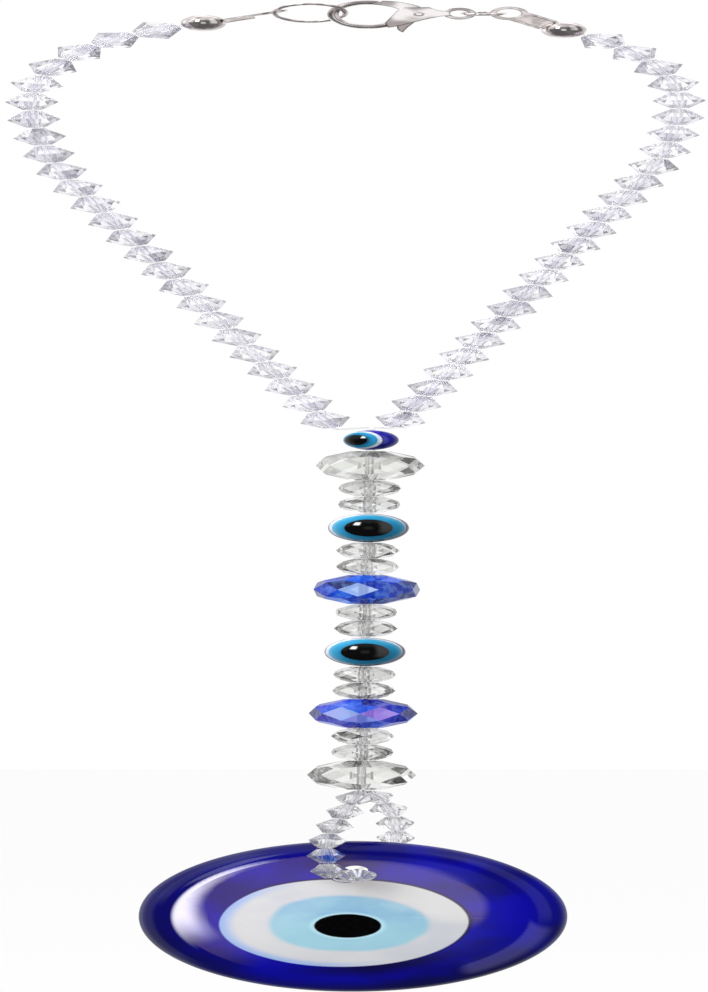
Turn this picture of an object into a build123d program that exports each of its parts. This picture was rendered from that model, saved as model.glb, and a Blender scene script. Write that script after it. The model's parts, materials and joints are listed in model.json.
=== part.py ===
from build123d import *
import os
from math import atan2, cos, degrees, radians, sin

# Evil eye ornament: a hanging loop of crystal bicones closed by a lobster clasp, a column of
# rondelles and eye beads under it, and a cobalt glass eye disc threaded on a small lower loop.
# Millimetres. +Z up, -Y is the side that faces a person. The origin is where a hook bears,
# inside the top of the loop.

# ---------------------------------------------------------------- driving dimensions
HOLE_R = 0.50              # stringing hole of every crystal and eye bead
THREAD_R = 0.22            # nylon stringing thread
THREAD_GAP = 0.06          # thread end to flex point in a strand
THREAD_STEP = 0.24         # half spacing of the two threads inside the column

BICONE_D = 5.6             # loop bicones
BICONE_END_R = 0.84
BICONE_GAP = 0.28
BICONES_PER_SIDE = 25
BICONE_SIDES = 8
STRAND_GROUPS = (4, 8, 8, 5)   # bicones between flex points, from the bottom up

DROP_BICONE_D = 4.1        # bicones of the lower loop
DROP_BICONE_L = 4.0
DROP_BICONE_END_R = 0.75
DROP_GAP = 0.28

SMALL_RONDELLE = (5.9, 4.5, 0.95, 1.30)    # across flats, height, half diamond height, end radius
LARGE_RONDELLE = (10.1, 8.2, 1.95, 1.80)
RONDELLE_SIDES = 8
EYE_R = 4.07               # column eye beads
JUNCTION_R = 2.80          # small eye bead where the two strands meet
COLUMN_EYE = (0, 36.5, 64)     # degrees: turn of the eye's axis, edge of pupil, edge of iris
JUNCTION_EYE = (-38, 30, 52)
PUPIL_DEPTH = 0.35         # of the pupil's radius
IRIS_DEPTH = 0.25          # of the iris ring's width
COLUMN_GAP = 0.10
FLEX_GAP = 0.32            # wider gap at the flex points of the column, with no thread in it

JUNCTION_X = 1.70
JUNCTION_Z = -116.8
COLUMN_LEAN = 0.57         # degrees the column leans out of plumb

# Each strand: foot of its straight run, lean of that run in degrees, its length, then the arcs
# (radius, turn) that bring it in again at the top.
LEFT_STRAND = ((-2.05, -113.4), 20.6, 73.0, ((70, 20.6), (22, 52), (30, 19)))
RIGHT_STRAND = ((3.90, -113.2), 19.5, 74.4, ((66, 19.5), (24, 44), (30, 12)))
STRAND_START_UP = 0.62     # the strand thread starts this far above the junction bead
JUNCTION_THREAD_UP = 0.30  # and the junction thread ends this far above it

DISC_R = 21.45
DISC_X = -0.10
DISC_Z = -252.0
DISC_FRONT = 4.30          # crown of the front above the mid plane
DISC_BACK = 2.90
DISC_DOME = ((9.0, -4.08), (17.5, -3.20))              # radius, y on the domed front
DISC_RIM = ((20.6, -1.6), (DISC_R, 0.1), (20.5, 2.0))   # round the rim
RIM_TANGENTS = ((1, 0.12), (-1, 0.05))                  # where the rim meets dome and back
DISC_BACK_R = 18.5         # edge of the flat back
DISC_HOLE_R = 1.25
DISC_HOLE = (0.15, -238.7)
INLAY_DEPTH = 1.2          # least depth of the coloured inlays, under the edge of the dome
INLAY_DROP = 1.0           # fall of the dome across the inlays
WHITE_EYE = (-1.05, -253.7, 12.40)         # x, z, radius of each coloured inlay
BLUE_EYE = (-0.60, -253.9, 8.00)
PUPIL_EYE = (-0.64, -254.5, 3.35)

BALL_R = 2.30              # steel cover balls at the strand ends
BALL_HOLE_R = 0.26
KNOT_R = 0.80              # hollow for the knot
BALL_CLEAR = 0.02          # crimp to ball

# Lower loop: the thread's points, the last front bead and the number of beads on each side.
FRONT_CORD = ((0.05, -2.1, -218.4), (-2.1, -4.3, -227.0), (-2.8, -5.8, -232.2),
              (-2.65, -6.4, -236.6), (-2.2, -6.5, -240.6))
BACK_CORD = ((2.2, 2.2, -218.4), (3.5, 4.0, -221.9), (4.2, 5.4, -226.8),
             (4.0, 6.1, -231.5), (2.9, 6.1, -235.3), (1.0, 5.2, -238.2))
LAST_BEAD = (0.30, -8.6, -240.0)
LAST_BEAD_AXIS = (0, 0.88, 0.47)
FRONT_BEADS = 6
BACK_BEADS = 5
CORD_DROP = 0.4            # both threads start this far under the bottom rondelle
CORD_LEAD = 0.8            # bare thread before the first bead
CORD_STRAIGHT = 0.15       # straight thread at each end of the last bead

CRIMP_THICK = 0.45
CRIMP_WIDTH = 2.9
CRIMP_EYE_R = 1.90
CRIMP_HOLE_R = 1.22
CRIMP_LIP = 0.55           # height of the two turned lips
CRIMP_LIP_THICK = 0.40
CRIMP_LIP_START = 0.35     # lip to eye
CRIMP_LAP = 0.90           # the channel reaches this share of the ball's radius from its centre
CRIMP_NECK = 0.80          # the plate's waist next to the eye
LEFT_CRIMP_TRIM = 0.15     # the left eye is this much smaller
LEFT_CRIMP_EYE = (-8.25, 4.60)
RIGHT_CRIMP_EYE = (15.5, 4.40)

RING_WIRE_R = 0.35
BIG_RING_R = 3.55
BIG_RING = (-4.40, 4.55)
BIG_RING_TILT = 48.0       # degrees out of the front plane, top towards -Y
BIG_RING_CUT = 158         # degrees round the ring to its cut
SMALL_RING_R = 2.00
SMALL_RING = (12.95, 4.35)
SMALL_RING_TILT = 12.0     # degrees out of the level
SMALL_RING_CUT = 250
RING_SPLIT = 0.15

HOOK_CENTRE = (1.35, 4.05)
HOOK_R = 3.45
HOOK_WIRE_R = 0.60
HOOK_START = 70            # degrees from +X at the tip
HOOK_SWEEP = 248
TIP_CUT = (0.30, 2.80)     # foot of the sloping cut across the hook's tip
TIP_SLOPE = 45.0           # slope of that cut, so that the gate swings in under it
TIP_CUTTER = 3.0
CLASP_THICK = 2.4
SLOT = 1.0
# Outlines of the clasp's body and lever, from the hook's centre.
WEDGE_TOP = ((1.75, -2.35), (3.05, 1.35), (3.6, 1.95), (6.2, 2.05))
WEDGE_NOSE = ((6.2, 2.05), (7.3, 1.1), (8.5, 0.85))
WEDGE_FOOT = ((8.5, -0.35), (6.6, -0.9), (3.9, -2.75), (2.05, -3.75))
PIN_SLOT = ((4.85, 0.0), (3.9, 10.0))      # centre, size
GATE_SLOT = ((2.6, 2.15), (3.0, 6.0))
GATE_TOP = ((1.50, 3.93), (2.6, 3.75), (4.9, 2.6), (5.93, 0.25))
TAB_FRONT = ((5.93, 0.25), (5.05, -1.55), (4.1, -3.5), (3.55, -5.1))
TAB_BACK = ((3.55, -5.1), (3.0, -4.2), (3.25, -2.2), (3.8, 0.25))
GATE_FOOT = ((3.8, 0.25), (2.9, 1.7), (0.42, 2.85))
LEVER_THICK = 0.86
LEVER_PIN = (6.5, 4.1)
LEVER_PIN_R = 0.45
RUNNING = 0.05             # radial running clearance of the lever on its pin
EYELET = (10.55, 4.3)
EYELET_R = 1.65
EYELET_HOLE_R = 0.95
EYELET_THICK = 1.1
PIN_PROUD = 0.15           # the pin stands out of each side
SPRING = (7.47, 4.3)
SPRING_R = 0.26
SPRING_LENGTH = 0.55
SPRING_PITCH = 0.22
SPRING_WIRE_R = 0.09

os.makedirs("parts", exist_ok=True)


def save(part, name):
    part.label = name
    export_step(part, f"parts/{name}.step")


def xz(point, y=0.0):
    """A point given in the front plane."""
    return (point[0], y, point[1])


# ---------------------------------------------------------------- beads
def facet(angle, apothem, height, rise):
    """Cutting plane whose outward normal points at angle round Z and rises by rise degrees."""
    a = radians(angle)
    r = radians(rise)
    normal = (cos(a) * cos(r), sin(a) * cos(r), sin(r))
    return Plane(origin=(apothem * cos(a), apothem * sin(a), height), z_dir=normal)


def bicone(diameter, length, end_r):
    """Faceted double cone, its two ends turned half a facet against each other."""
    step = 360 / BICONE_SIDES
    apothem = diameter / 2 * cos(radians(step / 2))
    rise = degrees(atan2(apothem - end_r, length / 2))
    with BuildPart() as bead:
        Cylinder(diameter / 2, length)
        for k in range(BICONE_SIDES):
            split(bisect_by=facet(k * step, apothem, 0, rise), keep=Keep.BOTTOM)
            split(bisect_by=facet((k + 0.5) * step, apothem, 0, -rise), keep=Keep.BOTTOM)
        Hole(HOLE_R)
    return bead.part


def rondelle(across_flats, height, diamond, end_r):
    """Faceted rondelle: diamonds round the girdle, triangles between them, kites to the ends."""
    step = 360 / RONDELLE_SIDES
    apothem = across_flats / 2
    corner_r = apothem / cos(radians(step / 2))
    shoulder = corner_r * sin(radians(step / 2)) ** 2
    triangle_rise = degrees(atan2(shoulder, diamond))
    kite_rise = degrees(atan2(apothem - end_r, height / 2 - diamond))
    with BuildPart() as bead:
        Cylinder(corner_r, height)
        for k in range(RONDELLE_SIDES):
            flat = k * step - 90
            corner = flat + step / 2
            split(bisect_by=facet(flat, apothem, 0, 0), keep=Keep.BOTTOM)
            for side in (1, -1):
                kite = facet(flat, apothem, side * diamond, side * kite_rise)
                triangle = facet(corner, corner_r, 0, side * triangle_rise)
                split(bisect_by=kite, keep=Keep.BOTTOM)
                split(bisect_by=triangle, keep=Keep.BOTTOM)
        Hole(HOLE_R)
    return bead.part


def eye_bead(radius, turn, pupil, iris):
    """Glass ball with an iris ring and a pupil let in flush, facing -Y turned by turn degrees.

    pupil and iris are the angles from the eye's axis to the edges of the two inlays.
    """
    facing = Plane.XZ.rotated((0, 0, turn))
    pupil_r = radius * sin(radians(pupil))
    iris_r = radius * sin(radians(iris))
    pupil_floor = radius * cos(radians(pupil)) - PUPIL_DEPTH * pupil_r
    iris_floor = radius * cos(radians(iris)) - IRIS_DEPTH * (iris_r - pupil_r)
    with BuildPart() as body:
        Sphere(radius)
        with BuildSketch(facing.offset(iris_floor)):
            Circle(iris_r)
        extrude(amount=radius, mode=Mode.SUBTRACT)
        with BuildSketch(facing.offset(pupil_floor)):
            Circle(pupil_r)
        extrude(amount=radius, mode=Mode.SUBTRACT)
        Hole(HOLE_R)
    with BuildPart() as ring:
        with BuildSketch(facing.offset(iris_floor)):
            Circle(iris_r)
            Circle(pupil_r, mode=Mode.SUBTRACT)
        extrude(amount=radius)
        Sphere(radius, mode=Mode.INTERSECT)
    with BuildPart() as centre:
        with BuildSketch(facing.offset(pupil_floor)):
            Circle(pupil_r)
        extrude(amount=radius)
        Sphere(radius, mode=Mode.INTERSECT)
    return body.part, ring.part, centre.part


def placed(part, location):
    """A copy of a bead at a location."""
    with BuildPart() as bead:
        with Locations(location):
            add(part)
    return bead.part


# ---------------------------------------------------------------- column
COLUMN = Plane(origin=(JUNCTION_X, 0, JUNCTION_Z)).rotated((0, COLUMN_LEAN, 0))
SMALL = rondelle(*SMALL_RONDELLE)
LARGE = rondelle(*LARGE_RONDELLE)
# Name, bead, length, gap above it, turn of its facets in degrees.
COLUMN_BEADS = (
    ("clear_rondelle_top", LARGE, LARGE_RONDELLE[1], FLEX_GAP, 20),
    ("small_rondelle_01", SMALL, SMALL_RONDELLE[1], COLUMN_GAP, 12),
    ("small_rondelle_02", SMALL, SMALL_RONDELLE[1], COLUMN_GAP, -9),
    ("eye_bead_upper", None, 2 * EYE_R, FLEX_GAP, 0),
    ("small_rondelle_03", SMALL, SMALL_RONDELLE[1], COLUMN_GAP, 20),
    ("small_rondelle_04", SMALL, SMALL_RONDELLE[1], COLUMN_GAP, -16),
    ("blue_rondelle_upper", LARGE, LARGE_RONDELLE[1], COLUMN_GAP, -10),
    ("small_rondelle_05", SMALL, SMALL_RONDELLE[1], COLUMN_GAP, 7),
    ("small_rondelle_06", SMALL, SMALL_RONDELLE[1], COLUMN_GAP, 22),
    ("eye_bead_lower", None, 2 * EYE_R, FLEX_GAP, 0),
    ("small_rondelle_07", SMALL, SMALL_RONDELLE[1], COLUMN_GAP, -12),
    ("small_rondelle_08", SMALL, SMALL_RONDELLE[1], COLUMN_GAP, 15),
    ("blue_rondelle_lower", LARGE, LARGE_RONDELLE[1], COLUMN_GAP, 19),
    ("small_rondelle_09", SMALL, SMALL_RONDELLE[1], COLUMN_GAP, -20),
    ("small_rondelle_10", SMALL, SMALL_RONDELLE[1], COLUMN_GAP, 10),
    ("clear_rondelle_bottom", LARGE, LARGE_RONDELLE[1], COLUMN_GAP, 22),
)


def column_location(depth):
    """Place on the column's axis, depth below the junction bead's centre."""
    return COLUMN.location * Location((0, 0, -depth))


def make_eye(name, radius, eye, location):
    body, ring, centre = eye_bead(radius, *eye)
    save(placed(body, location), name)
    save(placed(ring, location), f"{name}_iris")
    save(placed(centre, location), f"{name}_pupil")


def make_column():
    """Junction bead and the sixteen column beads; returns the depths of the flex points."""
    make_eye("junction_bead", JUNCTION_R, JUNCTION_EYE, column_location(0))
    depth = JUNCTION_R
    flex = []
    for name, bead, length, gap, turn in COLUMN_BEADS:
        if gap == FLEX_GAP:
            flex.append(depth + gap / 2)
        depth += gap + length / 2
        if bead is None:
            make_eye(name, EYE_R, COLUMN_EYE, column_location(depth))
        else:
            save(placed(bead, column_location(depth) * Rotation(0, 0, turn)), name)
        depth += length / 2
    flex.append(depth)
    return flex


def thread_pair(top, bottom):
    """Two parallel threads down the column between two depths."""
    with BuildPart() as pair:
        with BuildSketch(COLUMN.offset(-bottom)):
            with Locations((-THREAD_STEP, 0), (THREAD_STEP, 0)):
                Circle(THREAD_R)
        extrude(amount=bottom - top)
    return pair.part


def make_column_threads(flex):
    top = -(JUNCTION_R + JUNCTION_THREAD_UP)
    save(thread_pair(top, flex[0] - FLEX_GAP / 2), "thread_junction")
    names = ("thread_column_1", "thread_column_2", "thread_column_3")
    for name, start, end in zip(names, flex, flex[1:]):
        save(thread_pair(start + FLEX_GAP / 2, end - FLEX_GAP / 2), name)


# ---------------------------------------------------------------- strands of the loop
def strand_path(side, foot, lean, straight, arcs):
    """Centre line of one strand, from above the junction bead to its cover ball.

    A short curve of bare thread, a straight run leaning out by lean degrees, then arcs given
    as (radius, turn) that bring the strand in again at the top.
    """
    outward = (side * sin(radians(lean)), cos(radians(lean)))
    start = (JUNCTION_X + side * THREAD_STEP, JUNCTION_Z + JUNCTION_R + STRAND_START_UP)
    with BuildLine(Plane.XZ) as line:
        lead = Spline(start, foot, tangents=[(side, 0.1), outward])
        end = PolarLine(foot, straight, direction=outward)
        for radius, turn in arcs:
            end = JernArc(start=end @ 1, tangent=end % 1, radius=radius, arc_size=side * turn)
    return Wire(line.edges()), lead.length


LEFT_PATH, LEFT_LEAD = strand_path(-1, *LEFT_STRAND)
RIGHT_PATH, RIGHT_LEAD = strand_path(1, *RIGHT_STRAND)
LEFT_BALL = LEFT_PATH @ 1
RIGHT_BALL = RIGHT_PATH @ 1


def at_length(path, s):
    return path.position_at(s, position_mode=PositionMode.LENGTH)


def along(path, s):
    """Location on a path at arc length s, with local Z along the path."""
    tangent = path.tangent_at(s, position_mode=PositionMode.LENGTH)
    side = Vector(0, 1, 0).cross(tangent)
    return Plane(origin=at_length(path, s), x_dir=side, z_dir=tangent).location


def thread(path, start, end):
    """One thread along a path between two arc lengths."""
    piece = path.trim(at_length(path, start), at_length(path, end))
    with BuildPart() as cord:
        with BuildSketch(Plane(origin=piece @ 0, z_dir=piece % 0)):
            Circle(THREAD_R)
        sweep(path=piece)
    return cord.part


def bead_group(bead, locations):
    with BuildPart() as group:
        with Locations(*locations):
            add(bead)
    return group.part


def make_strand(name, path, lead):
    """Bicones and thread of one strand, cut into groups at its flex points."""
    bead_run = path.length - lead - BALL_R - BICONE_GAP
    pitch = bead_run / BICONES_PER_SIDE
    bead = bicone(BICONE_D, pitch - BICONE_GAP, BICONE_END_R)
    placed_beads = 0
    thread_start = 0.0
    for number, count in enumerate(STRAND_GROUPS, 1):
        first = lead + placed_beads * pitch
        centres = [first + (k + 0.5) * pitch for k in range(count)]
        placed_beads += count
        thread_end = lead + placed_beads * pitch
        save(bead_group(bead, [along(path, s) for s in centres]), f"bicones_{name}_{number}")
        last = number == len(STRAND_GROUPS)
        end_gap = 0.0 if last else THREAD_GAP
        start_gap = 0.0 if number == 1 else THREAD_GAP
        top = thread_end + BALL_R if last else thread_end
        save(thread(path, thread_start + start_gap, top - end_gap), f"thread_{name}_{number}")
        thread_start = thread_end


# ---------------------------------------------------------------- ends: balls, crimps, rings
def make_ball(name, centre, path):
    """Steel cover ball over the knot, with the thread's hole on the strand side."""
    tangent = path.tangent_at(1.0)
    with BuildPart() as ball:
        with Locations(centre):
            Sphere(BALL_R)
        with BuildSketch(Plane(origin=centre, z_dir=-tangent)):
            Circle(BALL_HOLE_R)
        extrude(amount=2 * BALL_R, mode=Mode.SUBTRACT)
        with Locations(centre):
            Sphere(KNOT_R, mode=Mode.SUBTRACT)
    save(ball.part, name)


def make_crimp(name, eye, ball, flat_to_front):
    """Folded end plate: an eye at one end and a channel with two turned lips to the ball."""
    run = ball - Vector(*xz(eye))
    reach = run.length - BALL_R * CRIMP_LAP
    normal = Vector(0, -1, 0) if flat_to_front else run.cross(Vector(0, 1, 0)).normalized()
    face = Plane(origin=xz(eye), x_dir=run.normalized(), z_dir=normal)
    eye_r = CRIMP_EYE_R if flat_to_front else CRIMP_EYE_R - LEFT_CRIMP_TRIM
    with BuildPart() as crimp:
        with BuildSketch(face.offset(-CRIMP_THICK / 2)):
            Circle(eye_r)
            with Locations(((reach + CRIMP_NECK) / 2, 0)):
                Rectangle(reach - CRIMP_NECK, CRIMP_WIDTH)
            Circle(CRIMP_HOLE_R, mode=Mode.SUBTRACT)
        extrude(amount=CRIMP_THICK)
        lip_start = eye_r + CRIMP_LIP_START
        lip_offset = (CRIMP_WIDTH - CRIMP_LIP_THICK) / 2
        for edge in (-1, 1):
            with BuildSketch(face.offset(-CRIMP_THICK / 2)):
                with Locations(((lip_start + reach) / 2, edge * lip_offset)):
                    Rectangle(reach - lip_start, CRIMP_LIP_THICK)
            extrude(amount=CRIMP_THICK + CRIMP_LIP)
        with Locations(ball):
            Sphere(BALL_R + BALL_CLEAR, mode=Mode.SUBTRACT)
    save(crimp.part, name)


def ring(radius, face, split_angle):
    """Round wire jump ring, cut at split_angle."""
    with BuildPart() as wire:
        with BuildLine(face) as loop:
            CenterArc((0, 0), radius, split_angle, 360 - degrees(RING_SPLIT / radius))
        with BuildSketch(Plane(origin=loop.line @ 0, z_dir=loop.line % 0)):
            Circle(RING_WIRE_R)
        sweep(path=loop.line)
    return wire.part


def make_rings():
    big = Plane(origin=xz(BIG_RING), x_dir=(1, 0, 0), z_dir=(0, -1, 0))
    big = big.rotated((BIG_RING_TILT, 0, 0))
    save(ring(BIG_RING_R, big, BIG_RING_CUT), "jump_ring_large")
    small = Plane(origin=xz(SMALL_RING), x_dir=(1, 0, 0), z_dir=(0, 0, 1))
    small = small.rotated((SMALL_RING_TILT, 0, 0))
    save(ring(SMALL_RING_R, small, SMALL_RING_CUT), "jump_ring_small")


# ---------------------------------------------------------------- lobster clasp
def from_hook(points):
    """Points given from the hook's centre, in the front plane."""
    return [(HOOK_CENTRE[0] + x, HOOK_CENTRE[1] + z) for x, z in points]


def across(point):
    """Place at a point of the front plane, with local Z along Y."""
    return Plane.XZ.location * Location((*point, 0))


def make_clasp_body():
    """Round hook, slotted wedge body and eyelet of the lobster clasp, in one casting."""
    tip = from_hook([TIP_CUT])[0]
    cutter = Location(xz(tip), (0, -TIP_SLOPE, 0)) * Location((TIP_CUTTER / 2, 0, -TIP_CUTTER / 2))
    with BuildPart() as body:
        with BuildLine(Plane(origin=xz(HOOK_CENTRE), x_dir=(1, 0, 0), z_dir=(0, -1, 0))) as hook:
            CenterArc((0, 0), HOOK_R, HOOK_START, HOOK_SWEEP)
        with BuildSketch(Plane(origin=hook.line @ 0, z_dir=hook.line % 0)):
            Circle(HOOK_WIRE_R)
        sweep(path=hook.line)
        with Locations(cutter):
            Box(TIP_CUTTER, TIP_CUTTER, TIP_CUTTER, mode=Mode.SUBTRACT)
        with BuildSketch(Plane.XZ.offset(-CLASP_THICK / 2)):
            with BuildLine():
                Polyline(*from_hook(WEDGE_TOP))
                Spline(*from_hook(WEDGE_NOSE))
                Line(*from_hook((WEDGE_NOSE[-1], WEDGE_FOOT[0])))
                Spline(*from_hook(WEDGE_FOOT))
                Line(*from_hook((WEDGE_FOOT[-1], WEDGE_TOP[0])))
            make_face()
        extrude(amount=CLASP_THICK)
        for centre, (width, height) in (PIN_SLOT, GATE_SLOT):
            with Locations(xz(from_hook([centre])[0])):
                Box(width, SLOT, height, mode=Mode.SUBTRACT)
        with Locations(across(LEVER_PIN)):
            Cylinder(LEVER_PIN_R, 2 * CLASP_THICK, mode=Mode.SUBTRACT)
        with BuildSketch(Plane.XZ.offset(-EYELET_THICK / 2)):
            with Locations(EYELET):
                Circle(EYELET_R)
        extrude(amount=EYELET_THICK)
        with Locations(across(EYELET)):
            Cylinder(EYELET_HOLE_R, 2 * CLASP_THICK, mode=Mode.SUBTRACT)
    save(body.part, "clasp_body")


def make_lever():
    """Gate and thumb tab in one plate, turning on the pin in the slot of the clasp."""
    with BuildPart() as lever:
        with BuildSketch(Plane.XZ.offset(-LEVER_THICK / 2)):
            with BuildLine():
                Spline(*from_hook(GATE_TOP))
                Spline(*from_hook(TAB_FRONT))
                Spline(*from_hook(TAB_BACK))
                Spline(*from_hook(GATE_FOOT))
                Line(*from_hook((GATE_FOOT[-1], GATE_TOP[0])))
            make_face()
        extrude(amount=LEVER_THICK)
        with Locations(across(LEVER_PIN)):
            Cylinder(LEVER_PIN_R + RUNNING, CLASP_THICK, mode=Mode.SUBTRACT)
    save(lever.part, "clasp_lever")


def make_pin():
    with BuildPart() as pin:
        with Locations(across(LEVER_PIN)):
            Cylinder(LEVER_PIN_R, CLASP_THICK + 2 * PIN_PROUD)
    save(pin.part, "clasp_pin")


def make_spring():
    """Small coil behind the lever that keeps the gate shut."""
    with BuildPart() as spring:
        with BuildLine() as coil:
            Helix(SPRING_PITCH, SPRING_LENGTH, SPRING_R, center=xz(SPRING), direction=(1, 0, 0))
        with BuildSketch(Plane(origin=coil.line @ 0, z_dir=coil.line % 0)):
            Circle(SPRING_WIRE_R)
        sweep(path=coil.line, is_frenet=True)
    save(spring.part, "clasp_spring")


# ---------------------------------------------------------------- lower loop and disc
def make_lower_loop(top_depth):
    """Two short strands of bicones that carry the disc through its hole."""
    top = column_location(top_depth).position - Vector(0, 0, CORD_DROP)
    side = Vector(THREAD_STEP, 0, 0)
    hole = xz(DISC_HOLE)
    last_bead = Vector(*LAST_BEAD)
    last_axis = Vector(*LAST_BEAD_AXIS).normalized()
    straight = last_axis * (DROP_BICONE_L / 2 + CORD_STRAIGHT)
    entry = last_bead - straight
    way_out = last_bead + straight
    with BuildLine() as line:
        front = Spline(top - side, *FRONT_CORD)
        Spline(front @ 1, entry, tangents=[front % 1, last_axis])
        Line(entry, way_out)
        Spline(way_out, hole, tangents=[last_axis, (0, 1, 0)])
        back = Spline(top + side, *BACK_CORD, hole)
    bead = bicone(DROP_BICONE_D, DROP_BICONE_L, DROP_BICONE_END_R)
    pitch = DROP_BICONE_L + DROP_GAP
    spots = [along(front, CORD_LEAD + (k + 0.5) * pitch) for k in range(FRONT_BEADS)]
    spots.append(Plane(origin=last_bead, z_dir=last_axis).location)
    spots += [along(back, CORD_LEAD + (k + 0.5) * pitch) for k in range(BACK_BEADS)]
    save(bead_group(bead, spots), "bicones_lower_loop")
    with BuildPart() as cord:
        for piece in line.edges():
            with BuildSketch(Plane(origin=piece @ 0, z_dir=piece % 0)):
                Circle(THREAD_R)
            sweep(path=piece)
    save(cord.part, "thread_lower_loop")


def eye_inlay(x, z, radius):
    """Plug of coloured glass standing in the front skin of the disc."""
    with BuildPart() as plug:
        with BuildSketch(Plane.XZ.offset(DISC_FRONT - INLAY_DEPTH - INLAY_DROP)):
            with Locations((x, z)):
                Circle(radius)
        extrude(amount=INLAY_DEPTH + 2 * INLAY_DROP)
    return plug.part


def disc_blank():
    """Poured glass disc: domed front, flatter back, rounded rim."""
    with BuildPart() as blank:
        with BuildSketch(Plane.XY):
            with BuildLine():
                ThreePointArc((0, -DISC_FRONT), *DISC_DOME)
                Spline(DISC_DOME[-1], *DISC_RIM, (DISC_BACK_R, DISC_BACK), tangents=RIM_TANGENTS)
                Line((DISC_BACK_R, DISC_BACK), (0, DISC_BACK))
                Line((0, DISC_BACK), (0, -DISC_FRONT))
            make_face()
        revolve(axis=Axis.Y)
    return placed(blank.part, Location(xz((DISC_X, DISC_Z))))


def make_disc():
    blank = disc_blank()
    names = ("disc_white_ring", "disc_light_blue_ring", "disc_pupil")
    plugs = [eye_inlay(*eye) for eye in (WHITE_EYE, BLUE_EYE, PUPIL_EYE)]
    with BuildPart() as glass:
        add(blank)
        add(plugs[0], mode=Mode.SUBTRACT)
        with Locations(across(DISC_HOLE)):
            Cylinder(DISC_HOLE_R, 4 * DISC_FRONT, mode=Mode.SUBTRACT)
    save(glass.part, "disc_glass")
    for index, name in enumerate(names):
        with BuildPart() as inlay:
            add(plugs[index])
            add(blank, mode=Mode.INTERSECT)
            for inner in plugs[index + 1:index + 2]:
                add(inner, mode=Mode.SUBTRACT)
        save(inlay.part, name)


# ---------------------------------------------------------------- build
FLEX = make_column()
make_column_threads(FLEX)
make_strand("left", LEFT_PATH, LEFT_LEAD)
make_strand("right", RIGHT_PATH, RIGHT_LEAD)
make_ball("cover_ball_left", LEFT_BALL, LEFT_PATH)
make_ball("cover_ball_right", RIGHT_BALL, RIGHT_PATH)
make_crimp("crimp_left", LEFT_CRIMP_EYE, LEFT_BALL, False)
make_crimp("crimp_right", RIGHT_CRIMP_EYE, RIGHT_BALL, True)
make_rings()
make_clasp_body()
make_lever()
make_pin()
make_spring()
make_lower_loop(FLEX[-1])
make_disc()
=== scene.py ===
import json
import math
import bmesh
import bpy
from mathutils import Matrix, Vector

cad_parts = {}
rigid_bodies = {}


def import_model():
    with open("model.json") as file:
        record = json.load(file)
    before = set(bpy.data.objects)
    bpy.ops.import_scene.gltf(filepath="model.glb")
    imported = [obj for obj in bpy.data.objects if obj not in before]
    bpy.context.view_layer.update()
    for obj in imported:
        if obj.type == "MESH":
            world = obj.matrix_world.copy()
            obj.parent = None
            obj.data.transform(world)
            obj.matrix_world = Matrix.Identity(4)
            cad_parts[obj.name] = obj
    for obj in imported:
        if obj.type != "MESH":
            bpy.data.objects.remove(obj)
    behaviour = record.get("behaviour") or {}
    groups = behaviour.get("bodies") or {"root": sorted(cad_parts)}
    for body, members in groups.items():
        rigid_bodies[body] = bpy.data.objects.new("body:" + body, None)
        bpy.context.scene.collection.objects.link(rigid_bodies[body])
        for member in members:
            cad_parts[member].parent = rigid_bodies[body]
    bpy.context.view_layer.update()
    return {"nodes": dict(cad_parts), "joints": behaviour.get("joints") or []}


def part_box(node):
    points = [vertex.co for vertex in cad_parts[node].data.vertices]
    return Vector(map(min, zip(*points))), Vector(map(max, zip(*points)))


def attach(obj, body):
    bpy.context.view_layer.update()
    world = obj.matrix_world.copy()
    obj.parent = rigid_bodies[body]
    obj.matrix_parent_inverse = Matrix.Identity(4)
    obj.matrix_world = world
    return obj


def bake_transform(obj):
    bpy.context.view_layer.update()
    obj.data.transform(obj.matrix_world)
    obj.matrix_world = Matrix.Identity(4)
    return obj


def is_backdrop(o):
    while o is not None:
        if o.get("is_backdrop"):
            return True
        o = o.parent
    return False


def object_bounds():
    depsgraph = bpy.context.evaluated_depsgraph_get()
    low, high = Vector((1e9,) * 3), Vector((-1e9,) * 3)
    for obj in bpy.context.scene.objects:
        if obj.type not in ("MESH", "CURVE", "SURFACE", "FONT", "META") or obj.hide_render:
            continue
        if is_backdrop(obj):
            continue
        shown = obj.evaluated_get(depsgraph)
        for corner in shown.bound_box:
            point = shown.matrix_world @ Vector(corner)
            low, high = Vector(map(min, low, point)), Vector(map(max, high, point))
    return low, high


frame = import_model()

MM = 0.001
NODES = frame["nodes"]
JOINTS = {j["name"]: j for j in frame["joints"]}
AXES = ((1, 0, 0), (0, 1, 0), (0, 0, 1))
THROUGH = 0.8              # least light that a ray through the crystals meets


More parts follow.
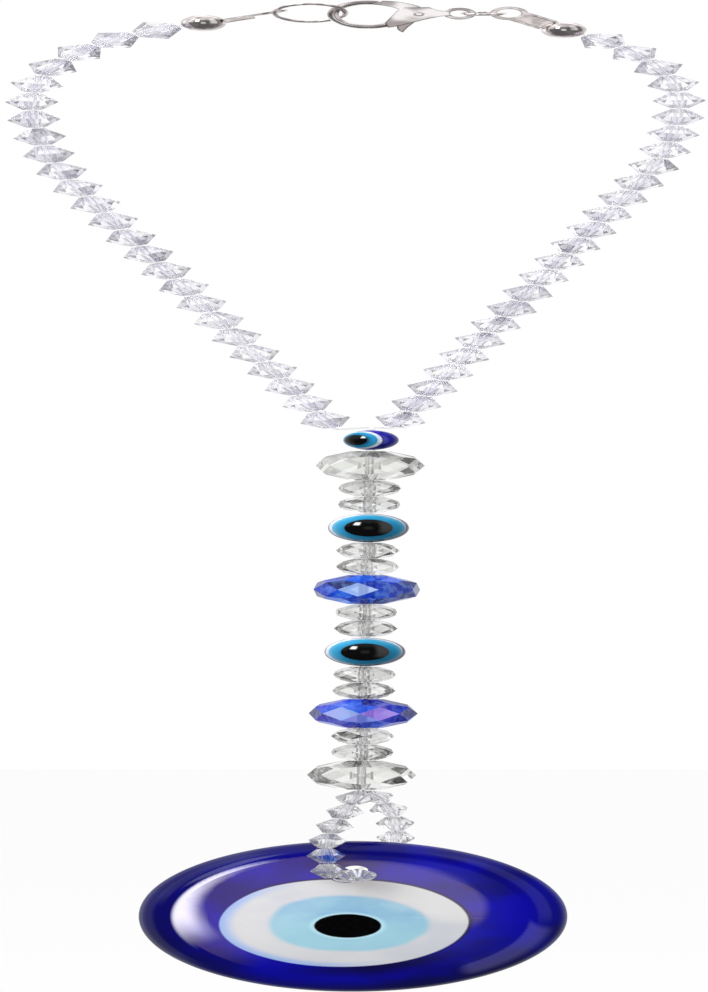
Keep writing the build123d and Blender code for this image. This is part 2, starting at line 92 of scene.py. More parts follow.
# ---------------------------------------------------------------- node graph helper
class Graph:
    """Small wrapper that builds a shader node tree in one line per node."""

    def __init__(self, tree):
        self.tree = tree
        tree.nodes.clear()

    def node(self, kind, inputs=None, out=0, **settings):
        """Adds a node, sets or links its inputs, and returns the output socket."""
        made = self.tree.nodes.new(kind)
        for key, value in settings.items():
            setattr(made, key, value)
        for key, value in (inputs or {}).items():
            socket = made.inputs[key]
            if isinstance(value, bpy.types.NodeSocket):
                self.tree.links.new(value, socket)
            else:
                socket.default_value = value
        return made.outputs[out]

    def math(self, operation, a, b=0.0, c=0.0):
        """Number from up to three numbers."""
        return self.node("ShaderNodeMath", {0: a, 1: b, 2: c}, operation=operation)

    def vector(self, operation, a, b=(0, 0, 0)):
        """Vector, or a number for a product or a length, from up to two vectors."""
        out = "Value" if operation in ("DOT_PRODUCT", "LENGTH", "DISTANCE") else "Vector"
        return self.node("ShaderNodeVectorMath", {0: a, 1: b}, out, operation=operation)

    def step(self, value, low, high, a=0.0, b=1.0):
        """Smooth step from a to b as value goes from low to high."""
        return self.node("ShaderNodeMapRange", {0: value, 1: low, 2: high, 3: a, 4: b},
                         interpolation_type="SMOOTHSTEP")

    def mix(self, factor, a, b):
        """Colour from a to b as the factor goes from 0 to 1."""
        return self.node("ShaderNodeMix", {0: factor, 6: a, 7: b}, 2, data_type="RGBA")

    def noise(self, vector, scale, detail=3.0):
        """Soft noise between 0 and 1, about 0.5."""
        return self.node("ShaderNodeTexNoise", {"Vector": vector, "Scale": scale, "Detail": detail,
                                                "Roughness": 0.5}, "Fac")

    def ramp(self, value, stops):
        """Colour ramp with stops given as (position, colour)."""
        socket = self.node("ShaderNodeValToRGB", {0: value})
        ramp = socket.node.color_ramp
        while len(ramp.elements) < len(stops):
            ramp.elements.new(1.0)
        for element, (position, colour) in zip(ramp.elements, stops):
            element.position = position
            element.color = colour
        return socket

    def bump(self, height, strength, distance, normal=None):
        """Normal of a surface with small relief, over another normal if one is given."""
        inputs = {"Height": height, "Strength": strength, "Distance": distance}
        if normal is not None:
            inputs["Normal"] = normal
        return self.node("ShaderNodeBump", inputs)


def rgb(code):
    """Linear colour of a six-digit sRGB code."""
    channels = [int(code[k:k + 2], 16) / 255 for k in (0, 2, 4)]
    return tuple(c / 12.92 if c <= 0.04045 else ((c + 0.055) / 1.055) ** 2.4 for c in channels) + (1.0,)


def material(name, build):
    """New material whose surface build(graph, object position in millimetres) returns."""
    made = bpy.data.materials.new(name)
    made.use_nodes = True
    g = Graph(made.node_tree)
    position = g.node("ShaderNodeTexCoord", out="Object")
    position = g.vector("SCALE", position)
    position.node.inputs["Scale"].default_value = 1 / MM
    surface = build(g, position)
    output = made.node_tree.nodes.new("ShaderNodeOutputMaterial")
    made.node_tree.links.new(surface, output.inputs["Surface"])
    return made


def dress(names, made):
    """Assigns one material to every slot of the named CAD nodes."""
    for name in names:
        slots = NODES[name].data.materials
        for index in range(len(slots)):
            slots[index] = made
        if not len(slots):
            slots.append(made)


def middle(*names):
    """Centre of the common box of some CAD nodes, in metres."""
    boxes = [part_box(name) for name in names]
    low = Vector([min(b[0][k] for b in boxes) for k in range(3)])
    high = Vector([max(b[1][k] for b in boxes) for k in range(3)])
    return (low + high) / 2


# ---------------------------------------------------------------- studio windows
def off_front_and_around(g, way):
    """A direction as its angle off the front and its turn round it, 0 being up and 90 left."""
    x, y, z = (g.vector("DOT_PRODUCT", way, axis) for axis in AXES)
    off_front = g.math("DEGREES", g.math("ARCCOSINE", g.math("MULTIPLY", y, -1.0)))
    around = g.math("DEGREES", g.math("ARCTAN2", g.math("MULTIPLY", x, -1.0), z))
    return off_front, around


def azimuth_and_elevation(g, way):
    """A direction as its turn from the front, right being positive, and its height, in degrees."""
    x, y, z = (g.vector("DOT_PRODUCT", way, axis) for axis in AXES)
    azimuth = g.math("DEGREES", g.math("ARCTAN2", x, g.math("MULTIPLY", y, -1.0)))
    return azimuth, g.math("DEGREES", g.math("ARCSINE", z))


def window(g, direction, limits, soft, strength):
    """A light between two limits of each angle of a direction, each limit with its own softness."""
    shape = strength
    for k in (0, 1):
        value, (low, high), (in_blur, out_blur) = direction[k], limits[k], soft[k]
        shape = g.math("MULTIPLY", shape, g.step(value, low - in_blur, low + in_blur))
        shape = g.math("MULTIPLY", shape, g.step(value, high - out_blur, high + out_blur, 1.0, 0.0))
    return shape


# ---------------------------------------------------------------- crystal
def crystal(shades, glow, clear=0.90, grain=3.0, gloss=0.6, faces=(), painted_reflection=None):
    """Cut crystal with painted light and shade: each facet takes its own tone from the shades, lighter
    where it faces the front and darker where it faces the sides, with faint painted light streaks along
    it, over tinted refracting glass.

    glow is the strength of a painted glow, an emission of the facet colour that stands for the light
    reaching the inside through the other facets. grain sets how fast the painted tone changes from
    facet to facet.
    faces lists (degrees the facet's normal is turned from the front, colour, share) for the few
    upright facets that get a painted highlight of their own. The last argument is (place, reach,
    colour) of a painted reflection of the glass next to a bead.
    """
    def build(g, position):
        normal = g.node("ShaderNodeTexCoord", out="Normal")
        seed = g.vector("ADD", g.vector("MULTIPLY", normal, (grain, grain, grain)),
                        g.vector("MULTIPLY", position, (0.10, 0.10, 0.10)))
        # painted shade: facets facing the front are lighter, facets facing the sides darker
        facing = g.math("ABSOLUTE", g.vector("DOT_PRODUCT", normal, (0.0, 0.18, 0.0)))
        sideways = g.math("ABSOLUTE", g.vector("DOT_PRODUCT", normal, (0.16, 0.0, 0.0)))
        tone = g.math("SUBTRACT", g.math("ADD", g.noise(seed, 1.0, 0.5), facing), sideways)
        colour = g.ramp(tone, shades)
        # painted light streaks along the bead, mixed towards the lightest shade
        streak = g.step(g.noise(g.vector("MULTIPLY", position, (1.6, 1.6, 0.5)), 1.0, 1.0), 0.45, 0.6)
        colour = g.mix(g.math("MULTIPLY", streak, 0.2), colour, shades[-1][1])
        # painted highlight on the few upright facets that face a light
        for turn, highlight_colour, share in faces:
            way = (math.sin(math.radians(turn)), -math.cos(math.radians(turn)), 0.0)
            on_face = g.step(g.vector("DOT_PRODUCT", normal, way), 0.985, 0.995, 0.0, share)
            colour = g.mix(on_face, colour, highlight_colour)
        # painted reflection of the blue disc glass on the facets next to it
        if painted_reflection:
            place, reach, reflection_colour = painted_reflection
            near = g.vector("LENGTH", g.vector("SUBTRACT", position, place))
            patch = g.math("MULTIPLY", g.step(near, reach * 0.5, reach, 1.0, 0.0),
                           g.step(g.noise(seed, 2.0, 1.0), 0.40, 0.55))
            colour = g.mix(patch, colour, reflection_colour)
        fleck = g.noise(position, 4.5, 2.0)
        rough = g.step(fleck, 0.45, 0.75, 0.01, 0.06)
        wave = g.bump(g.noise(position, 1.3, 2.0), 0.03, 0.10 * MM)
        # the facet colour also glows by the given strength, a painted glow
        return g.node("ShaderNodeBsdfPrincipled", {
            "Base Color": colour, "Roughness": rough, "IOR": 1.54, "Transmission Weight": clear,
            "Specular IOR Level": gloss, "Normal": wave,
            "Emission Color": colour, "Emission Strength": glow})
    return build


def tones(*codes):
    """Ramp from the darkest facet to the lightest, over the useful part of the noise."""
    first, last = 0.34, 0.84
    step = (last - first) / (len(codes) - 1)
    return tuple((first + k * step, rgb(code)) for k, code in enumerate(codes))


# ---------------------------------------------------------------- eye beads
# Painted reflections of windows on the eye beads, drawn as emission: limits of azimuth and elevation,
# their softness, strength.
EYE_WINDOWS = (
    (((-47, -28), (22, 43)), ((4, 4), (5, 5)), 1.1),
    (((35, 75), (-35, 45)), ((12, 12), (16, 16)), 0.035),
)


def angle_off(g, position, centre, axis):
    """Angle in degrees at a bead's centre between an axis and a point of the bead."""
    out = g.vector("NORMALIZE", g.vector("SUBTRACT", position, centre))
    cosine = g.vector("DOT_PRODUCT", out, axis)
    return g.math("DEGREES", g.math("ARCCOSINE", g.math("MINIMUM", cosine, 1.0)))


def glazed(g, colour, position):
    """Glossy opaque glass, slightly wavy, with a painted highlight of a small bright window high on the
    left and a faint painted reflection of one on the right.
    """
    dust = g.noise(position, 6.0, 2.0)
    normal = g.bump(g.noise(position, 0.7), 0.04, 0.3 * MM)
    mirrored = azimuth_and_elevation(g, g.node("ShaderNodeTexCoord", out="Reflection"))
    glint, sheen = (window(g, mirrored, *lit) for lit in EYE_WINDOWS)
    # painted highlight and reflection: white emission where the reflected direction meets the windows
    return g.node("ShaderNodeBsdfPrincipled", {
        "Base Color": colour, "Roughness": g.step(dust, 0.4, 0.8, 0.05, 0.12),
        "IOR": 1.50, "Specular IOR Level": 0.2, "Normal": normal,
        "Emission Color": (1, 1, 1, 1), "Emission Strength": g.math("ADD", glint, sheen)})


def eye_materials(bead, band_end, band_shift, body_colour):
    """Body, iris and pupil of one eye bead; the white band is drawn round the iris."""
    parts = (bead, f"{bead}_iris", f"{bead}_pupil")
    centre = middle(*parts)
    axis = (middle(f"{bead}_pupil") - centre).normalized()
    band_axis = (axis + Vector(band_shift)).normalized()

    def body(g, position):
        angle = angle_off(g, position, centre / MM, band_axis)
        wobble = g.math("MULTIPLY", g.math("SUBTRACT", g.noise(position, 0.5), 0.5), 5.0)
        edge = g.math("ADD", angle, wobble)
        streak = g.step(g.noise(position, 1.6, 4.0), 0.35, 0.7)
        blue = g.mix(streak, body_colour, rgb("161680"))
        band = g.mix(g.step(g.noise(position, 1.1), 0.4, 0.7), rgb("e8ecf4"), rgb("c4d0e4"))
        return glazed(g, g.mix(g.step(edge, band_end - 2, band_end + 2), band, blue), position)

    def iris(g, position):
        angle = angle_off(g, position, centre / MM, axis)
        pull = g.math("MULTIPLY", g.noise(position, 2.2, 4.0), 4.0)
        value = g.math("DIVIDE", g.math("ADD", angle, pull), 90.0)
        colour = g.ramp(value, ((0.36, rgb("0e4a66")), (0.48, rgb("2390c2")),
                                (0.62, rgb("3aa2d0")), (0.74, rgb("62b6da"))))
        return glazed(g, colour, position)

    def pupil(g, position):
        speck = g.step(g.noise(position, 3.0), 0.45, 0.8)
        return glazed(g, g.mix(speck, rgb("030304"), rgb("101014")), position)

    for name, build in zip(parts, (body, iris, pupil)):
        dress([name], material(name, build))


# ---------------------------------------------------------------- disc
DISC_NODES = ("disc_glass", "disc_white_ring", "disc_light_blue_ring", "disc_pupil")

# Painted reflections of windows on the disc, drawn as emission: limits off the front and around it,
# their softness, colour.
DISC_WINDOWS = (
    # broad box behind the camera, and its brighter right part
    (((2, 18.5), (5, 140)), ((2, 1.6), (14, 14)), (0.050, 0.033, 0.030)),
    (((2, 12.2), (-112, 8)), ((2, 0.7), (10, 10)), (0.085, 0.066, 0.050)),
    # strip of the long highlight on the left, and the low window on the right
    (((14.9, 25), (42, 112)), ((1.3, 6), (18, 16)), (0.95, 0.92, 0.96)),
    (((20, 80), (-146, -102)), ((3, 20), (3, 3)), (0.040, 0.038, 0.080)),
)


def flattened(g, position, centre):
    """A point's place seen from the front, from a centre."""
    return g.vector("MULTIPLY", g.vector("SUBTRACT", position, centre), (1, 0, 1))


def ring_edge(g, position, name, uneven, size, seed):
    """Signed distance to the unevenly poured outline of a ring, negative inside, and the way out."""
    low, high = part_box(name)
    from_middle = flattened(g, position, middle(name) / MM)
    way = g.vector("NORMALIZE", from_middle)
    shift = g.vector("ADD", g.vector("MULTIPLY", way, (size, size, size)), (seed, seed, seed))
    wobble = g.math("MULTIPLY", g.math("SUBTRACT", g.noise(shift, 1.0, 1.0), 0.5), uneven)
    reach = (high.x - low.x) / 2 / MM
    distance = g.math("SUBTRACT", g.vector("LENGTH", from_middle), reach)
    return g.math("ADD", distance, wobble), way


def cobalt_glass(g, flat, white):
    """Deep blue glass, darker low on the disc along the white ring, and with painted shade that darkens
    the rim, most on the upper left.
    """
    cobalt = g.mix(g.step(g.noise(flat, 0.09), 0.38, 0.62), rgb("02007e"), rgb("0400b4"))
    lower = g.step(g.vector("DOT_PRODUCT", flat, (0.35, 0, -0.94)), 9.0, 15.0)
    near = g.step(white, 0.3, 4.5, 1.0, 0.0)
    cobalt = g.mix(g.math("MULTIPLY", g.math("MULTIPLY", lower, near), 0.9), cobalt, rgb("04003a"))
    # painted shade: the rim darkens towards 020040, most on the upper left
    rim = g.step(g.vector("LENGTH", flat), 15.0, 21.3)
    upper_left_shade = g.step(g.vector("DOT_PRODUCT", flat, (-0.86, 0, 0.50)), -2.0, 16.0)
    darker = g.math("MULTIPLY", rim, g.math("MULTIPLY_ADD", upper_left_shade, 0.55, 0.30))
    return g.mix(darker, cobalt, rgb("020040"))


def milk_glass(g, position, white, way):
    """White ring, bluish inside its outline low on the left."""
    milk = g.mix(g.step(g.noise(position, 0.16), 0.35, 0.7), rgb("dfe2ea"), rgb("e9ebee"))
    left_low = g.vector("DOT_PRODUCT", way, (-0.93, 0, -0.37))
    pale = g.math("MULTIPLY", g.step(white, -1.7, -0.1), g.step(left_low, -0.15, 0.75))
    return g.mix(g.math("MULTIPLY", pale, 0.9), milk, rgb("a2c4ff"))


def sky_glass(g, position, way, pupil):
    """Light blue ring, with a pale halo round the pupil."""
    upward = g.step(g.vector("DOT_PRODUCT", way, (0.1, 0, 1)), -0.6, 0.9)
    sky = g.mix(upward, rgb("a9def0"), rgb("97c9ec"))
    sky = g.mix(g.step(g.noise(position, 0.30), 0.35, 0.75, 0.0, 0.5), sky, rgb("b6e6f6"))
    return g.mix(g.step(pupil, 0.15, 0.75, 1.0, 0.0), sky, rgb("c4f0ff"))


def violet_line(g, white, way):
    """Share of the dark violet line along the upper right outline of the white ring."""
    up_right = g.vector("DOT_PRODUCT", way, (0.62, 0, 0.78))
    line = g.math("MULTIPLY", g.step(white, 0.6, 0.2), g.step(up_right, -0.2, 0.5))
    return g.math("MULTIPLY", line, g.step(white, -0.15, 0.05))


def disc_shine(g):
    """Colour of the painted reflection of the windows on the disc."""
    mirrored = off_front_and_around(g, g.node("ShaderNodeTexCoord", out="Reflection"))
    shine = (0, 0, 0)
    for limits, soft, tint in DISC_WINDOWS:
        level = window(g, mirrored, limits, soft, 1.0)
        level = g.node("ShaderNodeCombineXYZ", {0: level, 1: level, 2: level})
        shine = g.vector("ADD", shine, g.vector("MULTIPLY", level, tint))
    return shine


def disc_surface(g, position):
    """Poured cobalt glass with the eye's three rings on its front, and a painted reflection of the
    windows.
    """
    centre = middle("disc_glass") / MM
    white, white_way = ring_edge(g, position, "disc_white_ring", 0.9, 0.9, 3.1)
    light, light_way = ring_edge(g, position, "disc_light_blue_ring", 1.3, 1.1, 7.7)
    pupil, _ = ring_edge(g, position, "disc_pupil", 0.10, 1.0, 1.3)

    cobalt = cobalt_glass(g, flattened(g, position, centre), white)
    ink = g.mix(g.step(g.noise(position, 1.4), 0.4, 0.8), rgb("000000"), rgb("08070c"))
    outlined = g.mix(violet_line(g, white, white_way), cobalt, rgb("1c0f50"))
    colour = g.mix(g.step(white, -0.10, 0.16), milk_glass(g, position, white, white_way), outlined)
    colour = g.mix(g.step(light, -0.55, 0.45), sky_glass(g, position, light_way, pupil), colour)
    colour = g.mix(g.step(pupil, -0.10, 0.12), ink, colour)
    depth = g.vector("DOT_PRODUCT", g.vector("SUBTRACT", position, centre), (0, 1, 0))
    behind = g.step(depth, 0.2, 1.0)
    colour = g.mix(behind, colour, cobalt)
    on_pupil = g.math("MULTIPLY", g.step(pupil, -0.10, 0.12, 1.0, 0.0),
                      g.math("SUBTRACT", 1.0, behind))

    ripple = g.bump(g.noise(position, 0.10, 1.0), 0.05, 0.4 * MM)
    pits = g.step(g.noise(position, 2.6), 0.66, 0.74)
    return g.node("ShaderNodeBsdfPrincipled", {
        "Base Color": colour, "IOR": 1.52,
        "Roughness": g.step(g.noise(position, 1.1, 4.0), 0.35, 0.8, 0.03, 0.09),
        "Specular IOR Level": g.math("MULTIPLY_ADD", on_pupil, -0.26, 0.28),
        "Normal": g.bump(pits, 0.05, 0.05 * MM, ripple),
        # painted reflection of the windows, given as emission and dimmed on the pupil
        "Emission Color": disc_shine(g),
        "Emission Strength": g.math("MULTIPLY_ADD", on_pupil, -0.8, 1.0)})


# ---------------------------------------------------------------- metal and thread
def steel(bright, dark, rough, edge=0.05, patch=0.9, edge_shade=0.4):
    """Plated metal: edges rounded by tumbling, soft light and dark patches of painted reflection, the
    dark ones a little rougher like wear, painted shade on the rounded edges, hairline scratches and
    tiny pits.
    """
    def build(g, position):
        # painted reflection: soft light and dark patches; the dark ones are also a little rougher, like
        # wear
        wear_and_sheen = g.step(g.noise(position, patch, 1.0), 0.38, 0.62)
        stretched = g.vector("MULTIPLY", position, (14.0, 14.0, 1.6))
        hair = g.step(g.noise(stretched, 1.0, 2.0), 0.52, 0.66)
        pits = g.step(g.noise(position, 9.0, 2.0), 0.64, 0.72)
        colour = g.mix(wear_and_sheen, bright, dark)
        wear = g.math("MULTIPLY_ADD", hair, 0.05, g.math("MULTIPLY_ADD", wear_and_sheen, 0.06, rough))
        rounded = g.node("ShaderNodeBevel", {"Radius": edge * MM}, samples=6)
        normal = g.bump(g.math("ADD", hair, pits), 0.02, 0.01 * MM, rounded)
        # painted shade: the colour darkens towards 4a4244 on the rounded edges, by the given share
        flat = g.vector("DOT_PRODUCT", rounded, g.node("ShaderNodeNewGeometry", out="True Normal"))
        colour = g.mix(g.step(flat, 0.80, 0.995, edge_shade, 0.0), colour, rgb("4a4244"))
        return g.node("ShaderNodeBsdfPrincipled", {
            "Base Color": colour, "Metallic": 1.0, "Roughness": wear, "Normal": normal})
    return build


def nylon(g, position):
    """Clear stringing thread with the faint twist of its fibres."""
    twist = g.vector("DOT_PRODUCT", position, (2.0, 2.0, 9.0))
    twist = g.math("SINE", g.math("MULTIPLY", twist, 3.0))
    colour = g.mix(g.step(twist, -1.0, 1.0), rgb("eeeef2"), rgb("ffffff"))
    return g.node("ShaderNodeBsdfPrincipled", {
        "Base Color": colour, "Roughness": 0.15, "IOR": 1.25, "Transmission Weight": 0.95,
        "Normal": g.bump(twist, 0.3, 0.03 * MM)})


def starting(*starts):
    """Names of the CAD nodes that start with one of some words."""
    return [name for name in sorted(NODES) if name.startswith(starts)]


# ---------------------------------------------------------------- what each node wears
# Ramps of painted light and shade for the facets, from the darkest to the lightest.
LOOP_TONES = tones("94929e", "dcdae6", "fcfaff", "ffffff", "ffffff")
DROP_TONES = tones("98989e", "dedee2", "fafafc", "ffffff", "ffffff")
CLEAR_TONES = tones("3c3c3a", "b4b4b2", "f0f0ee", "ffffff", "ffffff")
BLUE_TONES = tones("060c50", "0c1e9c", "1446dc", "1e6cf4", "7cb4f8")
VIOLET_TONES = tones("0c0c60", "2428b0", "1c48dc", "2a70f0", "90a4f4")
# Painted reflection of the disc's blue glass on the crystal next to it: place, reach, colour.
PAINTED_DISC_REFLECTION = ((-2.0, -7.0, -234.4), 2.6, rgb("2f62e0"))
# Painted highlights on single facets: degrees turned from the front, colour, share.
CLEAR_LIT_FACES = ((-25, rgb("f6f8f4"), 0.8), (-23, rgb("f6f8f4"), 0.8), (20, rgb("eceee6"), 0.8))
BLUE_LIT_FACES = ((-10, rgb("c4dcff"), 0.9),)
VIOLET_LIT_FACES = ((-26, rgb("c0d8ff"), 0.85), (19, rgb("c08cf0"), 0.85))
BEAD_BLUE = rgb("14104e")
BEAD_BAND = (72, (-0.09, 0, 0.12))     # degrees off the eye's axis, and the shift of its own axis

dress(starting("bicones_left", "bicones_right"), material("loop_crystal", crystal(LOOP_TONES, 0.075)))
dress(starting("bicones_lower"),
      material("drop_crystal", crystal(DROP_TONES, 0.05, painted_reflection=PAINTED_DISC_REFLECTION)))
dress(starting("small_rondelle"), material("rondelle_crystal", crystal(CLEAR_TONES, 0.025, grain=4.2)))
dress(starting("clear_rondelle"),
      material("large_crystal", crystal(CLEAR_TONES, 0.03, faces=CLEAR_LIT_FACES)))
dress(["blue_rondelle_upper"],
      material("blue_crystal",
               crystal(BLUE_TONES, 0.11, clear=0.55, gloss=0.12, faces=BLUE_LIT_FACES)))
dress(["blue_rondelle_lower"],
      material("blue_violet_crystal",
               crystal(VIOLET_TONES, 0.11, clear=0.55, gloss=0.12, faces=VIOLET_LIT_FACES)))
dress(starting("thread_"), material("thread", nylon))
dress(["cover_ball_left", "cover_ball_right"],
      material("ball_plate", steel(rgb("e4dedd"), rgb("c4bcbc"), 0.06)))
dress(["clasp_body", "clasp_lever", "clasp_pin", "clasp_spring"],
      material("clasp_plate", steel(rgb("fcf8f7"), rgb("b0a6a6"), 0.10, edge=0.30, patch=0.30)))
dress(["jump_ring_large", "jump_ring_small"],
      material("ring_plate", steel(rgb("fcf8f7"), rgb("dad2d0"), 0.12, edge_shade=0.15)))
dress(["crimp_left", "crimp_right"],
      material("crimp_plate", steel(rgb("ece4e2"), rgb("d0c8c6"), 0.18, edge=0.20)))
eye_materials("eye_bead_upper", *BEAD_BAND, BEAD_BLUE)
eye_materials("eye_bead_lower", *BEAD_BAND, BEAD_BLUE)
eye_materials("junction_bead", 62, (0.0, 0, 0.0), rgb("2a2ab4"))
dress(DISC_NODES, material("disc_glass_eye", disc_surface))


# ---------------------------------------------------------------- thread across the flex gaps
SLEEVE_HALF = 0.36         # mm, half length of the flexible thread at a flex point
SLEEVE_R = 0.20
SLEEVE_STEP = 0.24         # half spacing of the two threads
SLEEVE_RINGS = 13
SLEEVE_SIDES = 16
TIP_GAP = 0.02             # half gap between the tips of a thread in two halves
TIP_ROUND = 0.04           # length of the rounding of such a tip


def thread_pair(name, centre, down, profile):
    """Two threads side by side through a flex point, as rings (millimetres down, radius)."""
    side = Vector((0, 1, 0)).cross(down).normalized()
    front = down.cross(side)
    mesh = bpy.data.meshes.new(name)
    shape = bmesh.new()
    for cord in (-1, 1):
        rings = []
        for reach, radius in profile:
            spine = centre + (down * reach + side * cord * SLEEVE_STEP) * MM
            ring = []
            for m in range(SLEEVE_SIDES):
                turn = 2 * math.pi * m / SLEEVE_SIDES
                offset = side * math.cos(turn) + front * math.sin(turn)
                ring.append(shape.verts.new(spine + offset * radius * MM))
            rings.append(ring)
        for first, second in zip(rings, rings[1:]):
            for m in range(SLEEVE_SIDES):
                n = (m + 1) % SLEEVE_SIDES
                shape.faces.new((first[m], first[n], second[n], second[m])).smooth = True
        shape.faces.new(rings[0][::-1])
        shape.faces.new(rings[-1])
    bmesh.ops.recalc_face_normals(shape, faces=shape.faces)
    shape.to_mesh(mesh)
    shape.free()
    piece = bpy.data.objects.new(name, mesh)
    bpy.context.scene.collection.objects.link(piece)
    mesh.materials.append(bpy.data.materials["thread"])
    return piece


def column_direction():
    """Down along the column."""
    top = Vector(JOINTS["column_swing"]["pos_m"])
    return (Vector(JOINTS["pendant_turn"]["pos_m"]) - top).normalized()


def bending_thread(name, joint_name):
    """Two straight threads across a flex point, attached to neither of its bodies."""
    joint = JOINTS[joint_name]
    centre = Vector(joint["pos_m"])
    down = column_direction()
    steps = [2 * k / (SLEEVE_RINGS - 1) - 1 for k in range(SLEEVE_RINGS)]
    profile = [(step * SLEEVE_HALF, SLEEVE_R) for step in steps]
    piece = thread_pair(name, centre, down, profile)
    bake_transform(piece)


def hinged_thread(name, joint_name):
    """Threads in two halves that meet, a hair apart, on the joint's axis."""
    joint = JOINTS[joint_name]
    for half, way, body in (("upper", -1, joint["parent"]), ("lower", 1, joint["child"])):
        profile = [(way * SLEEVE_HALF, SLEEVE_R), (way * (TIP_GAP + TIP_ROUND), SLEEVE_R),
                   (way * (TIP_GAP + TIP_ROUND / 3), SLEEVE_R * 0.9), (way * TIP_GAP, SLEEVE_R * 0.6)]
        piece = thread_pair(f"{name}_{half}", Vector(joint["pos_m"]), column_direction(), profile)
        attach(piece, body)


bending_thread("thread_flex_1", "column_swing")
bending_thread("thread_flex_2", "column_sway")
bending_thread("thread_flex_3", "column_bend")
hinged_thread("thread_flex_4", "pendant_nod")


# ---------------------------------------------------------------- studio
# Windows of the room: limits of azimuth and elevation, their softness, strength.
ROOM_WINDOWS = (
    (((-46, -24), (18, 46)), ((4, 4), (4, 4)), 3.0),
    (((-12, 12), (-12, 12)), ((5, 5), (5, 5)), 0.78),
    (((-85, -55), (10, 60)), ((6, 6), (6, 6)), 0.8),
    (((36, 75), (-5, 55)), ((6, 6), (6, 6)), 0.6),
    (((-125, -80), (-40, 60)), ((8, 8), (8, 8)), 0.6),
)


def studio_world():
    """Room for a product picture: white to the camera, bright behind and above, with windows."""
    world = bpy.data.worlds.new("studio")
    bpy.context.scene.world = world
    world.use_nodes = True
    g = Graph(world.node_tree)
    way = g.node("ShaderNodeTexCoord", out="Generated")
    y, z = (g.vector("DOT_PRODUCT", way, axis) for axis in AXES[1:])
    light = g.math("ADD", g.step(y, 0.10, 0.55, 0.18, 1.0), g.step(z, 0.50, 0.85, 0.0, 0.7))
    direction = azimuth_and_elevation(g, way)
    for limits, soft, strength in ROOM_WINDOWS:
        light = g.math("ADD", light, window(g, direction, limits, soft, strength))
    through = g.node("ShaderNodeLightPath", out="Is Transmission Ray")
    light = g.math("MAXIMUM", light, g.math("MULTIPLY", through, THROUGH))
    seen = g.node("ShaderNodeLightPath", out="Is Camera Ray")
    light = g.math("ADD", g.math("MULTIPLY", light, g.math("SUBTRACT", 1.0, seen)), seen)
    background = g.node("ShaderNodeBackground", {"Color": (1, 1, 1, 1), "Strength": light})
    output = world.node_tree.nodes.new("ShaderNodeOutputWorld")
    world.node_tree.links.new(background, output.inputs["Surface"])


FLOOR_RADIUS = 3.0         # m
FLOOR_SIDES = 96
FLOOR_DROP = 0.03          # m, under the lowest point of the object


def floor():
    """Plain pale round floor a little under the disc."""
    low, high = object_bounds()
    mesh = bpy.data.meshes.new("floor")
    shape = bmesh.new()
    bmesh.ops.create_circle(shape, cap_ends=True, segments=FLOOR_SIDES, radius=FLOOR_RADIUS)
    shape.to_mesh(mesh)
    shape.free()
    made = bpy.data.objects.new("floor", mesh)
    made.location = ((low.x + high.x) / 2, (low.y + high.y) / 2, low.z - FLOOR_DROP)
    bpy.context.scene.collection.objects.link(made)

    def paper(g, position):
        """Pale paper: bright to the camera and through the crystals, dim as a light source."""
        grain = g.noise(position, 0.4, 3.0)
        white = g.mix(grain, (0.80, 0.80, 0.80, 1), (0.84, 0.84, 0.835, 1))
        matt = g.node("ShaderNodeBsdfDiffuse", {"Color": white})
        glow = g.node("ShaderNodeEmission", {"Strength": 1.0})
        dim = g.node("ShaderNodeBsdfDiffuse", {"Color": (0.12, 0.12, 0.12, 1)})
        direct = g.node("ShaderNodeMixShader", {0: 0.82, 1: matt, 2: glow})
        seen = g.node("ShaderNodeLightPath", out="Is Camera Ray")
        through = g.node("ShaderNodeLightPath", out="Is Transmission Ray")
        bright = g.math("MAXIMUM", seen, g.math("MULTIPLY", through, THROUGH))
        return g.node("ShaderNodeMixShader", {0: bright, 1: dim, 2: direct})

    mesh.materials.append(material("floor_paper", paper))
    made.visible_glossy = False
    made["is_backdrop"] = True


def area_light(name, azimuth, elevation, distance, size, energy):
    """Soft box aimed at the middle of the object."""
    low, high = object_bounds()
    centre = (low + high) / 2
    a, e = math.radians(azimuth), math.radians(elevation)
    way = Vector((math.sin(a) * math.cos(e), -math.cos(a) * math.cos(e), math.sin(e)))
    data = bpy.data.lights.new(name, "AREA")
    data.shape = "SQUARE"
    data.size = size
    data.energy = energy
    light = bpy.data.objects.new(name, data)
    light.location = centre + way * distance
    light.rotation_euler = way.to_track_quat("Z", "Y").to_euler()
    light.visible_camera = False
    light.visible_glossy = False
    light.visible_transmission = False
    bpy.context.scene.collection.objects.link(light)


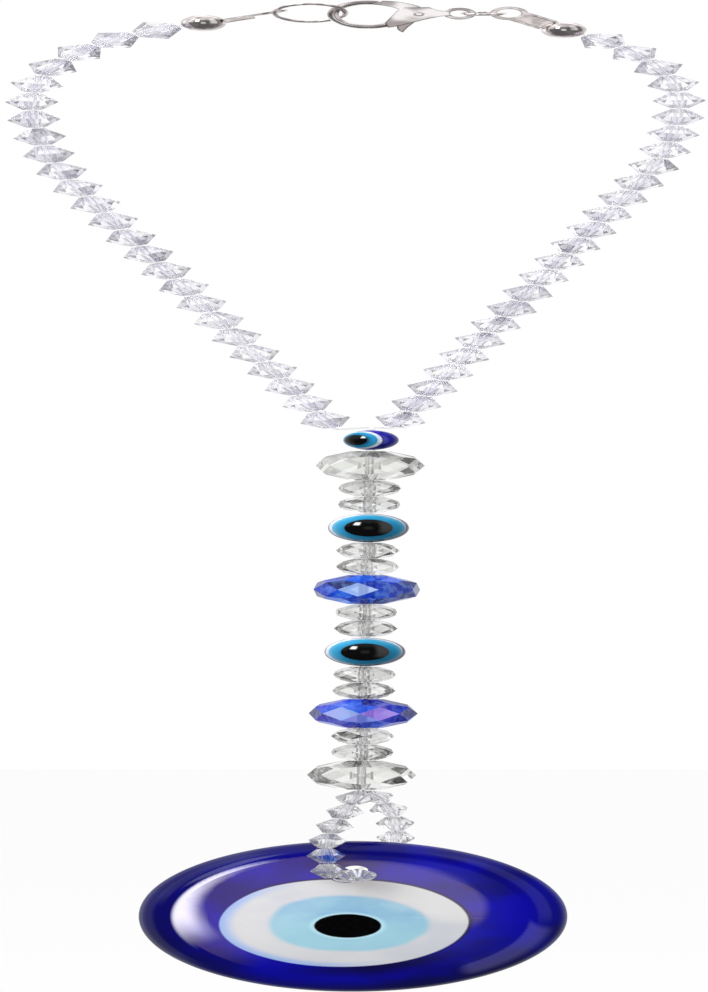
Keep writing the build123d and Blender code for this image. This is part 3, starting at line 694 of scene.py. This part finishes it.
# ---------------------------------------------------------------- camera
PHOTO_WIDTH = 70.8         # mm across the frame at the object
PHOTO_TOP = 8.2            # mm above the origin at the top edge of the frame
PHOTO_BOTTOM = -273.5
DISTANCE = 2.5             # m from the object to the camera
ROUND_LONGITUDE = 0.207    # half angles of the plain views from other sides, in rad
ROUND_LATITUDE = 0.290
SWITCH_DISTANCE = 1.8      # m, between a plain view's distance and the main one


def photo_camera():
    """Far camera with separate fields of view across and up, as the picture is squeezed upright."""
    scene = bpy.context.scene
    data = bpy.data.cameras.new("camera")
    camera = bpy.data.objects.new("camera", data)
    scene.collection.objects.link(camera)
    scene.camera = camera
    camera.location = (0.0, -DISTANCE, (PHOTO_TOP + PHOTO_BOTTOM) / 2 * MM)
    camera.rotation_euler = (math.pi / 2, 0, 0)
    data.type = "PANO"
    data.panorama_type = "EQUIRECTANGULAR"
    data.clip_end = 10.0
    across = math.atan(PHOTO_WIDTH / 2 * MM / DISTANCE)
    up = math.atan((PHOTO_TOP - PHOTO_BOTTOM) / 2 * MM / DISTANCE)
    aim = bpy.data.objects.new("camera_aim", None)
    aim.location = (0.0, 0.0, camera.location.z)
    scene.collection.objects.link(aim)
    limits = (("longitude_min", -ROUND_LONGITUDE, -across), ("longitude_max", ROUND_LONGITUDE, across),
              ("latitude_min", -ROUND_LATITUDE, -up), ("latitude_max", ROUND_LATITUDE, up))
    for path, near, far in limits:
        setattr(data, path, far)
        by_distance(data, path, camera, aim, near, far)


def by_distance(data, path, camera, aim, near, far):
    """Drives one field of view by the camera's distance: near for close plain views, else far."""
    curve = data.driver_add(path)
    curve.driver.type = "SUM"
    distance = curve.driver.variables.new()
    distance.type = "LOC_DIFF"
    distance.targets[0].id = camera
    distance.targets[1].id = aim
    for modifier in list(curve.modifiers):
        curve.modifiers.remove(modifier)
    for value, key in ((0.0, near), (SWITCH_DISTANCE, far)):
        curve.keyframe_points.insert(value, key).interpolation = "CONSTANT"


studio_world()
floor()
area_light("soft_key", azimuth=-30, elevation=34, distance=0.9, size=1.0, energy=7.3)
photo_camera()
bpy.context.scene.view_settings.view_transform = "Standard"
